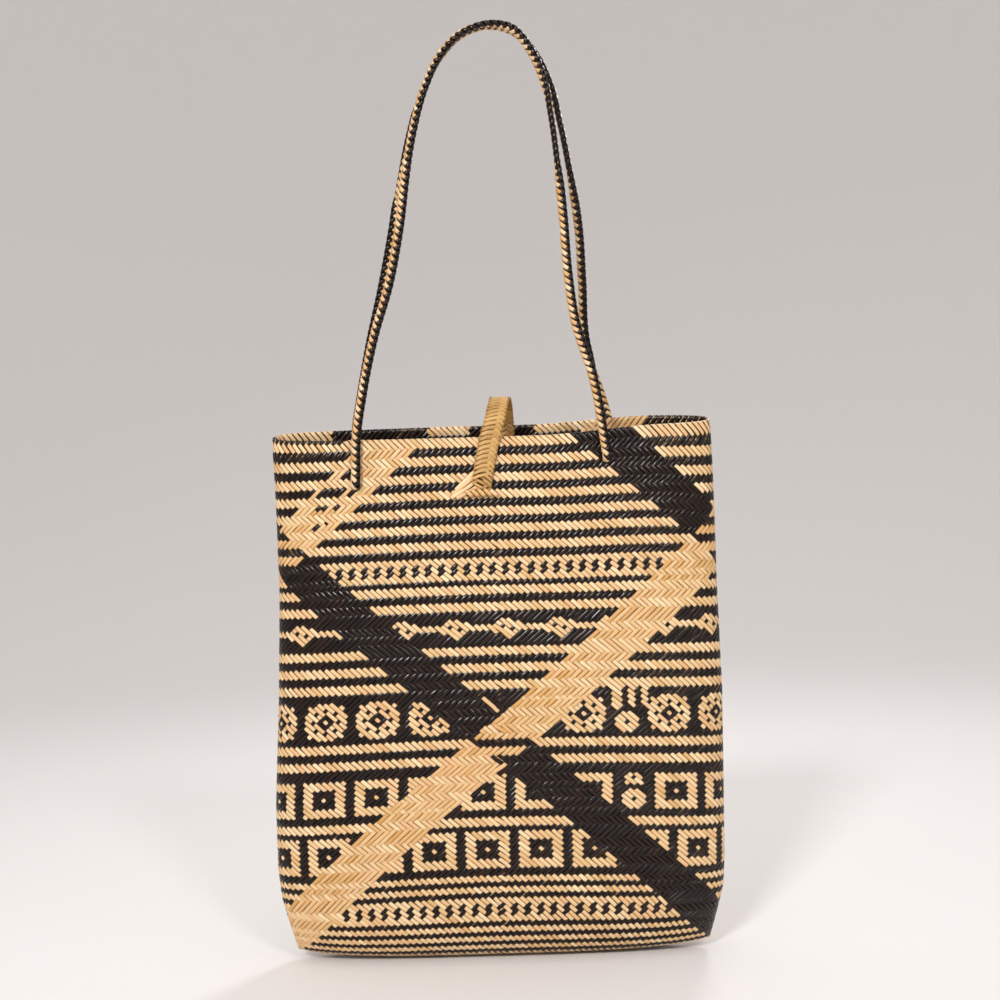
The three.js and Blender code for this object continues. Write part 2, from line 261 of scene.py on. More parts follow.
# Share of a handle's line that has to run across the view for its frame to be taken from it
CLEAR_SHARE = 0.5
HANDLE_HALF_WIDTH = 2.7
HANDLE_HALF_THICK = 1.75
HANDLE_PITCH = 4.8
HANDLE_STROKE = 3.5
HANDLE_STRAND_WIDTH = 3.0
HANDLE_STRAND_THICK = 1.0
HANDLE_CORE_INSET = 0.4
# Stop knot: rounds, and times that its line goes in and out
KNOT_RADIUS = 4.6
KNOT_DEPTH = 1.5
KNOT_STRAND = 2.0
KNOT_ROUNDS = 2
KNOT_WAVES = 3
KNOT_SAMPLES = 72

# Closure strap: up inside the back wall as x, z, over the mouth as x, y, z and down the front wall as x, z
STRAP_INSIDE = [(4.6, -316), (4.3, -305), (4, -292), (3.7, -278)]
STRAP_ARCH = [
    (3.3, 15.4, -267), (2.5, 8.5, -257), (1.1, -4, -254.6), (-0.8, -15.5, -261), (-3.2, -23.4, -271.5),
]
STRAP_OUTSIDE = [(-7, -284), (-9.2, -294), (-11.6, -306), (-14, -320.5)]
STRAP_STAND = 1.75
STRAP_HALF_WIDTH = 6.6
STRAP_HALF_THICK = 0.8
STRAP_PITCH = 3.3
STRAP_MEETING = 2.4
STRAP_LEFT_STROKE = -5.0
STRAP_RIGHT_STROKE = -3.6
STRAP_STRAND_WIDTH = 3.15
STRAP_STRAND_THICK = 0.8
STRAP_CORE_INSET = 1.0
STRAP_TONE = 0.5
# The strap's tip: length with thinner strands, their share of the width, and length that is rounded off
TIP_OPEN = 16.0
TIP_STRAND = 0.75
TIP_LENGTH = 5.0

# Keeper: strands that fan out from under the strap down to the left, and stitches over its tip, as x, z
KEEPER_FAN = [
    [(-14, -301.5), (-22, -309), (-30.5, -316.8)],
    [(-14.5, -305.5), (-23.5, -313), (-33, -320)],
    [(-15, -310), (-23, -316), (-33.5, -322)],
    [(-15, -314.5), (-22, -318.5), (-30, -322.5)],
]
KEEPER_STITCHES = [
    [(-24, -317), (-21.4, -319.4), (-18.8, -321.8)],
    [(-20, -316.6), (-17.3, -319.2), (-14.6, -321.8)],
    [(-15.7, -316.6), (-13, -319.2), (-10.3, -321.8)],
    [(-11.4, -316.6), (-8.7, -319.2), (-6, -321.8)],
    [(-7.4, -317), (-4.8, -319.4), (-2.2, -321.8)],
]
KEEPER_STAND = 0.45
KEEPER_OVER = 2.3
KEEPER_RAMP = 0.5
KEEPER_SAMPLES = 16
KEEPER_STRAND_WIDTH = 2.8
KEEPER_STRAND_THICK = 0.9

# Cross-section of a strand, as shares of its width and thickness: a flat face with bevelled edges in
# front, and a low ridge behind
STRAND_SECTION = np.array([(-0.5, -0.05), (-0.3, 0.5), (0.3, 0.5), (0.5, -0.05), (0, -0.5)])
# Step along a plait, how many times finer its line is worked out first, then the core's steps and thinning
PATH_STEP = 0.5
PATH_FINENESS = 4
CORE_STEP = 4
CORE_THIN = 0.3
# One stroke of a plait: how far it runs on under the other side, as a share, and how it dips there
STROKE_SAMPLES = 9
STROKE_OVERRUN = 1.25
STROKE_DIP = 0.45
STROKE_DIP_FROM = 0.85

# Rattan: spacing, length, depth and strength of its fibre lines, and their share in its tone
FIBRE_SPACING = 0.295
FIBRE_LENGTH = 25.0
FIBRE_DEPTH = 0.1
FIBRE_BUMP = 0.35
FIBRE_SHARE = 0.5
# Length of its slow changes and of its tinted patches. Both are almost even across a strand.
SLOW_LENGTH = 30.3
PATCH_LENGTH = 40.0
EVEN_ACROSS = 0.1
# How far apart two strands lie in these patterns, and what keeps the patches clear of the slow changes
STRANDS_APART = 97.0
PATCH_APART = 1.7
PATCH_START = (50.0, 50.0, 50.0)
# Sums of tone at which a strand is palest and deepest, then where patches and the painted shade at the edges
# come in, how strongly
TONE_RANGE = (0.5, 1.8)
PATCH_RANGE = (0.45, 0.7)
PATCH_STRENGTH = 0.8
EDGE_SHADE_FROM = 0.7
EDGE_SHADE_STRENGTH = 0.75

# Studio floor: flat round the bag, then rising far out
FLOOR_GAP = 1.5
FLOOR_FLAT = 1500.0
FLOOR_RADIUS = 5000.0
FLOOR_RISE = 3500.0
FLAT_RINGS = 6
RISING_RINGS = 25
FLOOR_SIDES = 96
FLOOR_PAINT = "#E9E6E5"
FLOOR_ROUGHNESS = 0.9
# Soft lights: name, place, side, power in watts
LIGHTS = [
    ("key_light", (-1000, -2800, 1300), 500, 4.7),
    ("fill_light", (1200, -2800, 1400), 500, 2.0),
    ("rear_light", (1000, 2800, 1300), 700, 3.0),
]
LIGHT_SPREAD = np.radians(50.0)
ROOM_COLOUR = "#F4F1EF"
ROOM_STRENGTH = 0.85
# The camera: how far in front of the bag, how wide the view is there, its middle as x, z, and its roll
CAMERA_DISTANCE = 1000.0
PHOTO_WIDTH = 690.0
PHOTO_CENTRE = (-0.8, -324.4)
PHOTO_TILT = np.radians(1.7)
SENSOR = 36.0

rng = np.random.default_rng(SEED)


def unit(v):
    """Each vector over its own length."""
    return v / np.maximum(np.linalg.norm(v, axis=-1, keepdims=True), TINY)


def smooth_step(x, low, high):
    """Nought below low, one above high, and 3t^2 - 2t^3 between."""
    t = np.clip((x - low) / (high - low), 0, 1)
    return t * t * (3 - 2 * t)


def side_by_side(*values):
    """Values put side by side along a new last axis, with single ones repeated to fit."""
    return np.stack(np.broadcast_arrays(*values), -1)


def length_along(points):
    """Length from a line's first point to each of its points: the lengths of the steps, added up."""
    steps = np.linalg.norm(np.diff(points, axis=-2), axis=-1)
    return np.concatenate([np.zeros((*steps.shape[:-1], 1)), np.cumsum(steps, axis=-1)], -1)


def along_line(at, length, values):
    """Vectors known at some lengths along a line, at other lengths: straight between the known ones."""
    return np.stack([np.interp(at, length, column) for column in values.T], -1)


def ring_faces(index):
    """Quads between neighbouring closed rings, each ring a row of point numbers."""
    turned = np.roll(index, -1, axis=-1)
    corners = [index[..., :-1, :], index[..., 1:, :], turned[..., 1:, :], turned[..., :-1, :]]
    return np.stack(corners, -1).reshape(-1, 4)


def linear(colour):
    """An sRGB hex colour as linear red, green, blue and full alpha."""
    c = np.array([int(colour[k:k + 2], 16) for k in (1, 3, 5)]) / 255
    c = np.where(c <= 0.04045, c / 12.92, ((c + 0.055) / 1.055) ** 2.4)
    return (*c.tolist(), 1.0)


def node(tree, kind, links=(), **settings):
    """Adds a node: settings named in_... go to that input's value, others to the node, then the links."""
    n = tree.nodes.new(kind)
    for name, value in settings.items():
        if name.startswith("in_"):
            key = name[3:]
            n.inputs[int(key) if key.isdigit() else key.replace("_", " ")].default_value = value
        else:
            setattr(n, name, value)
    for source, target in links:
        tree.links.new(source, n.inputs[target])
    return n


def wall_section(drop):
    """Half width, half depth, squareness and shift at a drop below the rim, straight between the tabled
    sections."""
    return [np.interp(drop, WALL_SECTIONS[:, 0], column) for column in WALL_SECTIONS[:, 1:].T]


def wall_profile():
    """Sections from the rim to the middle line of the base: straight between the tabled sections, then a
    quarter turn with the drop by the sine and the depth by the cosine, then flat inwards until the depth
    is nothing. Returns rows of reach, drop, half width, half depth, squareness and shift, and the length
    down the front to each."""
    last_drop, last_width, last_depth, square, shift = WALL_SECTIONS[-1]
    drop = np.linspace(0, last_drop, int(last_drop / WALL_STEP) + 1)
    wall = side_by_side(drop, drop, *wall_section(drop))

    angle = np.linspace(0, np.pi / 2, TURN_STEPS + 1)[1:]
    drop = last_drop + (BASE_DROP - last_drop) * np.sin(angle)
    width = last_width - TURN_IN_WIDTH * np.sin(angle)
    depth = last_depth - TURN_IN_DEPTH * (1 - np.cos(angle))
    turn = side_by_side(drop, drop, width, depth, square, shift)

    share = np.linspace(0, 1, BASE_STEPS + 1)[1:]
    reach = BASE_DROP + depth[-1] * share
    width = width[-1] - BASE_IN_WIDTH * share
    depth = depth[-1] * (1 - share)
    base = side_by_side(reach, BASE_DROP, width, depth, square, shift)

    rows = np.concatenate([wall, turn, base])
    _, drop, _, depth, _, _ = rows.T
    return rows, length_along(side_by_side(drop, depth))


def wall_grid(rows):
    """The outer face: round each section a rounded oblong, x by the sine and y by the cosine to the power
    of 2 over its squareness, cut into equal steps of its girth. Below the last even drop the cuts stay at
    the same angles, so that the units keep their width along the front and close up at the corners. Its
    height is the drop, lifted near the rim, less the sag towards the base."""
    reach, drop, width, depth, square, shift = rows.T[..., None]
    angle = np.linspace(-np.pi, np.pi, OUTLINE_POINTS)

    def outline(angle):
        sine, cosine = np.sin(angle), np.cos(angle)
        x = width * np.sign(sine) * np.abs(sine) ** (2 / square)
        y = -depth * np.sign(cosine) * np.abs(cosine) ** (2 / square)
        return x, y

    girth = length_along(side_by_side(*outline(angle)))
    share = np.arange(ROUND * COLUMNS_PER_UNIT) / (ROUND * COLUMNS_PER_UNIT)
    even = np.minimum(np.arange(len(rows)), np.searchsorted(reach[:, 0], LAST_EVEN_DROP))
    cuts = np.array([np.interp(share * g[-1], g, angle) for g in girth])[even]
    x, y = outline(cuts)
    sag = BASE_SAG * smooth_step(drop, SAG_START, BASE_DROP) * (1 - np.abs(x / width) ** SAG_POWER)
    x = x + shift
    return side_by_side(x + BAG_X, y, RIM_Z - drop + wall_lift(drop, x, y) - sag)


def wall_lift(drop, x, y):
    """How much higher than its drop a point near the rim lies: by its depth towards the back, and by a smooth
    step towards the right end, both fading down the wall."""
    fade = np.maximum(1 - drop / LIFT_FADE, 0)
    return fade * (REAR_LIFT * y + RIGHT_RISE * smooth_step(x, RISE_FROM, RISE_TO))


def wall_depth(x, z, side, inset=0.0):
    """Depth of the wall's outer face, or of a face inset from it, at a place on one side. The lift
    depends on the depth, so the two are worked out in turn."""
    x, z = np.asarray(x, float), np.asarray(z, float)
    y = 0 * x
    for _ in range(DEPTH_PASSES):
        drop = np.maximum(RIM_Z - z + wall_lift(RIM_Z - z, x - BAG_X, y), 0)
        width, depth, power, shift = wall_section(drop)
        share = np.abs(x - BAG_X - shift) / (width - inset)
        y = side * (depth - inset) * (1 - share**power) ** (1 / power)
    return y


def wall_thickness(z):
    """Thickness of the wall at a height: the rim's at the rim, thinning evenly to the plain wall's at the
    end of the fold."""
    return np.interp(RIM_Z - z, [0, RIM_FOLD], [RIM_THICK, WALL_THICK])


def grid_normals(points):
    """Outward normals: the step down crossed with the step round."""
    down = np.gradient(points, axis=0)
    along = np.roll(points, -1, axis=1) - np.roll(points, 1, axis=1)
    return unit(np.cross(down, along))


PROFILE, PROFILE_LENGTH = wall_profile()
REACH = PROFILE[:, 0]
WALL = wall_grid(PROFILE)
WALL_NORMALS = grid_normals(WALL)


def at_wall(grid, place, length):
    """Value of a wall grid at a place round the bag and a length down it, shared out between the four nearest
    points of the grid."""
    column = (place + LATTICE_SHIFT + STRANDS) * COLUMNS_PER_UNIT
    row = np.interp(length, PROFILE_LENGTH, np.arange(len(PROFILE_LENGTH)))
    c0 = np.floor(column).astype(int)
    r0 = np.minimum(row.astype(int), len(PROFILE_LENGTH) - 2)
    cs = (column - c0)[..., None]
    rs = (row - r0)[..., None]
    c0, c1 = c0 % grid.shape[1], (c0 + 1) % grid.shape[1]
    upper = grid[r0, c0] * (1 - cs) + grid[r0, c1] * cs
    lower = grid[r0 + 1, c0] * (1 - cs) + grid[r0 + 1, c1] * cs
    return upper * (1 - rs) + lower * rs


def length_down(place, rows_below):
    """Length down the wall of a row: by the table for the middle of a face and for a side, shared by the
    square of how far round towards the side the place is."""
    towards_side = (np.abs((place + QUARTER) % STRANDS - QUARTER) / QUARTER) ** 2
    rows, *reaches = ROW_PLACES.T
    at_middle, at_side = [
        np.interp(np.abs(rows_below), rows, np.interp(reach, REACH, PROFILE_LENGTH)) for reach in reaches
    ]
    return at_side * towards_side + at_middle * (1 - towards_side)


def strand_groups(numbers, groups):
    """True for the strands whose number lies in one of the groups, counted round the bag."""
    return np.any([(numbers - first) % STRANDS <= last - first for first, last in groups], axis=0)


def away(place, middle):
    """Units from a middle, the short way round."""
    return (place - middle + STRANDS) % ROUND - STRANDS


def between(place, spans):
    """True where a place round the bag lies in one of the spans of units."""
    return np.any([(place % ROUND >= first) & (place % ROUND <= last) for first, last in spans], axis=0)


def square_figure(da, dr):
    """A frame three strands wide round a dark field with one plain dot in its middle."""
    ring = np.maximum(np.abs(da), np.abs(dr))
    return ((ring > FIGURE_HALF - FRAME_WIDTH) & (ring <= FIGURE_HALF)) | (ring == 0)


def rosette_figure(da, dr):
    """A plain square whose dark cells draw a ring, a star and cut corners, each at its own count of steps."""
    a, r = np.abs(da), np.abs(dr)
    steps = a + r
    dark = (steps == ROSETTE_RING) | ((steps == ROSETTE_POINT) & (a * r == 0))
    dark |= (a == ROSETTE_CELL) & (r == ROSETTE_CELL)
    dark |= (steps == ROSETTE_CUT) & (a != r)
    dark |= steps == 2 * FIGURE_HALF
    return (np.maximum(a, r) <= FIGURE_HALF) & ~dark


def flower_figure(da, dr, half):
    """A small plain square with its corners cut and one dark dot."""
    ring = np.maximum(np.abs(da), np.abs(dr))
    return (ring <= half) & (ring > 0) & (np.abs(da) + np.abs(dr) <= half + FLOWER_CUT)


def diamond_chain(place, dr):
    """Leaning diamonds on a chain two rows high: each strand beside a diamond's first shows between two rows,
    and two dots in the middle stay dark."""
    beside = (place - FIRST_DIAMOND - dr) // 2
    pitch = FIGURE_PITCH // 2
    strand = (beside + pitch // 2) % pitch - pitch // 2
    shows = (dr >= CHAIN_ROWS[0]) & (dr <= CHAIN_ROWS[1])
    for number, first, last in DIAMOND_STRANDS:
        shows = np.where(strand == number, (dr >= first) & (dr <= last), shows)
    for number, row in DIAMOND_DOTS:
        shows &= (strand != number) | (dr != row)
    return shows


def dot_rows(place, row, first):
    """Plain, with four rows of dark dots in the middle, a dot at each fourth unit, every second row one
    back."""
    dot = (place - first + row % 2) % DOT_PITCH == 0
    return ~(dot & (row >= DOT_ROWS[0]) & (row <= DOT_ROWS[1]))


def comb_teeth(place, row):
    """True on the teeth of the comb, which are upright and begin above the rosettes' band."""
    dr = row - BAND_TOP["rosettes"]
    teeth = [
        ((place - left) % ROUND <= right - left) & (dr >= first) & (dr <= last)
        for left, right, first, last in COMB_TEETH
    ]
    return np.any(teeth, axis=0)


def band_figures(place, row):
    """True where falling strands draw the figures, laid out over the whole wall for each band that has
    some."""
    figures = {
        "upper_dots": dot_rows(place, row - BAND_TOP["upper_dots"], UPPER_DOT),
        "lower_dots": dot_rows(place, row - BAND_TOP["lower_dots"], LOWER_DOT),
        "diamonds": diamond_chain(place, row - BAND_TOP["diamonds"] - DIAMOND_ROW),
    }
    for name, figure, places in (
        ("upper_squares", square_figure, UPPER_SQUARES),
        ("lower_squares", square_figure, LOWER_SQUARES),
        ("rosettes", rosette_figure, ROSETTES),
    ):
        dr = row - BAND_TOP[name] - FIGURE_HALF
        figures[name] = np.any([figure(away(place, middle), dr) for middle in places], axis=0)
    for name, middle, at, half in FLOWERS:
        figures[name] |= flower_figure(away(place, middle), row - BAND_TOP[name] - at, half)
    lone = ((place - row) // 2 - LONE_STRAND) % STRANDS == 0
    figures["rosettes"] |= lone & (row < BAND_TOP["rosettes"] + LONE_ROWS)
    return figures


def falling_shows(place, row):
    """True where the falling strand lies over the rising one: by the bands and figures of the pattern on the
    wall, by a plain twill where the two stripes cross the figures, by the dark folds above the rim, and by
    dyed strands on the first row at the front's left end, which are painted shade for the rim's top there."""
    teeth = comb_teeth(place, row)
    figures = band_figures(place, row)
    figures["rosettes"] |= teeth
    band = np.array(BAND_ROWS)[np.clip(row, 0, LAST_ROW)]
    shows = (band == "natural") | teeth
    plain = (row // TWILL) % 2 == 0
    falling = strand_groups((place - row) // 2, BLACK_FALLING)
    rising = strand_groups((place + row) // 2, NATURAL_RISING)
    for name, shown in figures.items():
        in_stripes = plain | (falling & rising & (name != "rosettes"))
        shows = np.where(band == name, np.where(falling | rising, in_stripes, shown), shows)
    # Painted shade: dyed strands over the first row and the fold at the front's left end, where the rim's top
    # lies in shade
    shaded_rim = between(place, SHADED_RIM_SPAN)
    dark_fold = shaded_rim | between(place, DARK_FOLD)
    inside = np.where(row >= -TWILL, ~dark_fold, ~plain)
    return np.where(row < 0, inside, shows & ~(shaded_rim & (row == 0)))


def strand_rows():
    """Rows at which a strand is set out: every row, and a few more where it turns over the rim."""
    turn = np.linspace(-FOLD_HALF, FOLD_HALF, FOLD_SAMPLES) + FOLD_ROW
    return np.unique(np.concatenate([np.arange(FIRST_ROW, LAST_ROW + 1), turn]).round(4))


def hand_wave(count, rows, size, lengths):
    """How far each of many strands strays, row by row: a sine wave whose length and start are the
    strand's own, because strands scraped and laid by hand are never quite even."""
    wave = rng.uniform(*lengths, (count, 1))
    start = rng.uniform(0, 2 * np.pi, (count, 1))
    return size * np.sin(2 * np.pi * rows / wave + start)


def wall_strands(slant):
    """All strands of one slant, +1 falling and -1 rising, as lines of points with their outward faces. A
    strand lies at unit 2i + slant * row, give or take its sway. It rides up or down by the crossing rise
    as it goes over or under, and at the rim it turns about a small half circle and comes back down
    inside."""
    number = np.arange(STRANDS)[:, None]
    row = strand_rows()[None, :]
    place = 2 * number + slant * row + hand_wave(STRANDS, row, SWAY, SWAY_ROWS)
    nearest = np.rint(row).astype(int)
    over = falling_shows(2 * number + slant * nearest, nearest + 0 * number)
    rise = np.where(over, CROSSING_RISE, -CROSSING_RISE) * slant
    below = row - FOLD_ROW
    turn = np.clip(below / FOLD_HALF, -1, 1) * np.pi / 2 + 0 * place
    length = length_down(place, below)
    normal = at_wall(WALL_NORMALS, place, length)
    face = np.sin(turn)[..., None] * normal
    face[..., 2] += np.cos(turn)
    face = unit(face)
    radius = (INNER_INSET - OUTER_INSET) / 2
    centre = at_wall(WALL, place, length) - (OUTER_INSET + radius) * normal
    return centre + (radius + rise)[..., None] * face, face


def ribbons(lines, faces, width, thick, tone, lean=0.0):
    """Closed strands along lines of points: at each point the section is laid out across and out from the
    face, turned by the lean, rings are joined by quads and the ends closed. Returns points, quads, ends
    and, for each point, the length along, the place across from -1 to 1, and the strand's tone."""
    count, samples = lines.shape[:2]
    sides = len(STRAND_SECTION)
    along = unit(np.gradient(lines, axis=1))
    across = unit(np.cross(faces, along))
    out = np.cross(along, across)
    c, s = np.cos(lean)[..., None], np.sin(lean)[..., None]
    across, out = c * across + s * out, c * out - s * across
    sx, sy = STRAND_SECTION.T[..., None]
    width, tone = np.asarray(width, float), np.asarray(tone, float)
    points = lines[:, :, None] + across[:, :, None] * sx * width.reshape(-1, 1, 1, 1)
    points = points + out[:, :, None] * sy * thick

    index = np.arange(count * samples * sides).reshape(count, samples, sides)
    ends = np.concatenate([index[:, 0], index[:, -1, ::-1]])
    lay = side_by_side(length_along(lines)[:, :, None], 2 * sx[:, 0], tone.reshape(-1, 1, 1))
    return points.reshape(-1, 3), ring_faces(index), ends, lay.reshape(-1, 3)


def piece(name, parts, finish, slot, *nodes):
    """One piece of the object from closed shapes given as points, quads, ends and lay. It rides on the
    root."""
    points = np.concatenate([p[0] for p in parts])
    start = np.cumsum([0] + [len(p[0]) for p in parts])
    polygons = [face + first for p, first in zip(parts, start) for face in p[1:3]]
    corners = np.concatenate([face.ravel() for face in polygons])
    sizes = np.concatenate([np.full(len(face), face.shape[1]) for face in polygons])
    mesh = bpy.data.meshes.new(name)
    mesh.vertices.add(len(points))
    mesh.vertices.foreach_set("co", (points * MM).astype(np.float32).ravel())
    mesh.loops.add(len(corners))
    mesh.loops.foreach_set("vertex_index", corners.astype(np.int32))
    mesh.polygons.add(len(sizes))
    mesh.polygons.foreach_set("loop_start", (np.cumsum(sizes) - sizes).astype(np.int32))
    mesh.update(calc_edges=True)
    mesh.polygons.foreach_set("use_smooth", np.ones(len(sizes), bool))
    lay = mesh.attributes.new("lay", "FLOAT_VECTOR", "POINT")
    lay.data.foreach_set("vector", np.concatenate([p[3] for p in parts]).astype(np.float32).ravel())
    mesh.materials.append(finish)
    obj = bpy.data.objects.new(name, mesh)
    bpy.context.scene.collection.objects.link(obj)
    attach(obj, "root")
    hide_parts(*nodes)


def route(points):
    """A smooth line through the points: cubic stretches whose slope at a point follows its two
    neighbours, cut again into equal steps. Returns the lengths, the places and the directions."""
    points = np.array(points, float)
    knots = length_along(points)
    slopes = np.gradient(points, knots, axis=0)
    fine = np.linspace(0, knots[-1], int(knots[-1] / PATH_STEP * PATH_FINENESS))
    k = np.clip(np.searchsorted(knots, fine, "right") - 1, 0, len(knots) - 2)
    span = (knots[k + 1] - knots[k])[:, None]
    t = (fine - knots[k])[:, None] / span
    line = (2 * t**3 - 3 * t**2 + 1) * points[k] + (t**3 - 2 * t**2 + t) * span * slopes[k]
    line += (3 * t**2 - 2 * t**3) * points[k + 1] + (t**3 - t**2) * span * slopes[k + 1]
    length = length_along(line)
    even = np.linspace(0, length[-1], int(length[-1] / PATH_STEP) + 1)
    line = along_line(even, length, line)
    return even, line, unit(np.gradient(line, axis=0))


def handle_route(hang, side):
    """A handle's line. Between its ends the depth grows evenly with the height below the top, from the
    offset at the top to a little off the wall at the rim. Each end comes down the wall, turns in and goes
    through to its knot."""
    hang = np.array(hang, float)
    free = hang[1:-1]
    x, z = free.T
    top = z.max()
    rim_x, rim_z = np.where(x < 0, free[:1].T, free[-1:].T)
    at_rim = np.abs(wall_depth(rim_x, rim_z, side)) + HANDLE_STAND
    share = (top - z) / (top - rim_z)
    middle = side_by_side(x, side * (TOP_OFFSET + (at_rim - TOP_OFFSET) * share), z)

    def end(place, towards):
        knot = KNOT_INSET + wall_thickness(place[1])
        out, rise = np.array([(-knot, 0), (-knot / 2, 0), *END_TURN, (0, END_RISE)], float).T
        x = place[0] + (towards[0] - place[0]) * rise / (towards[1] - place[1])
        y = wall_depth(*place, side) + side * out
        y[-1] = wall_depth(x[-1], place[1] + END_RISE, side) + side * HANDLE_STAND
        return side_by_side(x, y, place[1] + rise)

    return np.concatenate([end(hang[0], hang[1]), middle, end(hang[-1], hang[-2])[::-1]])


def strap_route():
    """The closure strap's line: a little off the inner face of the back wall, over the mouth, then a
    little off the outer face of the front wall."""
    x, z = np.array(STRAP_INSIDE, float).T
    inside = side_by_side(x, wall_depth(x, z, BACK, STRAP_STAND + wall_thickness(z)), z)
    x, z = np.array(STRAP_OUTSIDE, float).T
    outside = side_by_side(x, wall_depth(x, z, FRONT) - STRAP_STAND, z)
    return np.concatenate([inside, STRAP_ARCH, outside])


def frames_across(along, across):
    """Square frames on a line: across is made square to the line, and the face is the line crossed with
    it."""
    across = unit(across - np.sum(across * along, axis=1, keepdims=True) * along)
    return across, np.cross(along, across)


def handle_frames(length, along, twist):
    """Frames on a handle that face the front, carried on where the line runs front to back, then turned
    about the line by the table of half turns, with a smooth step between whole ones."""
    outer = np.cross(TO_FRONT, along)
    clear = np.linalg.norm(outer, axis=1) > CLEAR_SHARE
    across, face = frames_across(along, along_line(length, length[clear], outer[clear]))
    turn = np.interp(length, *twist.T)
    whole = np.floor(turn)
    turn = (whole + smooth_step(turn - whole, 0, 1)) * np.pi
    c, s = np.cos(turn)[:, None], np.sin(turn)[:, None]
    return c * across + s * face, c * face - s * across


def plait_strokes(path, side, first, size, meeting=0.0, taper=None, deep=0.0):
    """The strands of one side of a plait, stroke by stroke. Each runs from the meeting line on the back
    round its edge to the meeting line on the front: across by the cosine, out by the sine, and steadily
    along. Its ends run on under the strokes of the other side. The size gives half the plait's width and
    thickness, the pitch, the length of half a stroke, and the strand's width and thickness, the width
    also as a function of the length."""
    length, line, across, face = path
    half_width, half_thick, pitch, stroke, width, thick = size
    t = np.linspace(-STROKE_OVERRUN, STROKE_OVERRUN, STROKE_SAMPLES)
    room = np.abs(stroke) * STROKE_OVERRUN
    middle = np.arange(room + first, length[-1] - room, pitch)
    at = middle[:, None] + stroke * t
    x = meeting + (side * half_width - meeting) * np.cos(t * np.pi / 2) + 0 * at
    if taper is not None:
        x = x * taper(at)
    dip = 1 - STROKE_DIP * smooth_step(np.abs(t), STROKE_DIP_FROM, STROKE_OVERRUN)
    z = half_thick * np.sin(t * np.pi / 2) * dip + 0 * at
    place, w, f = [along_line(at, length, v) for v in (line, across, face)]
    outward = unit(w * (x / half_width**2)[..., None] + f * (z / half_thick**2)[..., None])
    tone = deep + (1 - deep) * rng.random(len(middle))
    width = width(middle) if callable(width) else width
    return ribbons(place + w * x[..., None] + f * z[..., None], outward, width, thick, tone)


def core(line, face, half_width, half_thick):
    """The inside of a plait: one flat strand down its middle, a little thinner than the plait."""
    thick = 2 * (half_thick - CORE_THIN)
    return ribbons(line[None, ::CORE_STEP], face[None, ::CORE_STEP], 2 * half_width, thick, MIDDLE_TONE)


def stop_knot(middle):
    """An overhand knot: a line that goes three times in and out and twice round a flat disc inside the
    wall, its radius from a third of the knot's to the whole."""
    t = np.linspace(0, 2 * np.pi, KNOT_SAMPLES)
    radius = KNOT_RADIUS * (2 + np.cos(KNOT_WAVES * t)) / 3
    outward = side_by_side(np.cos(KNOT_ROUNDS * t), 0, np.sin(KNOT_ROUNDS * t))
    line = middle + radius[:, None] * outward
    line[:, 1] += KNOT_DEPTH * np.sin(KNOT_WAVES * t)
    return ribbons(line[None], outward[None], KNOT_STRAND, KNOT_STRAND, MIDDLE_TONE)


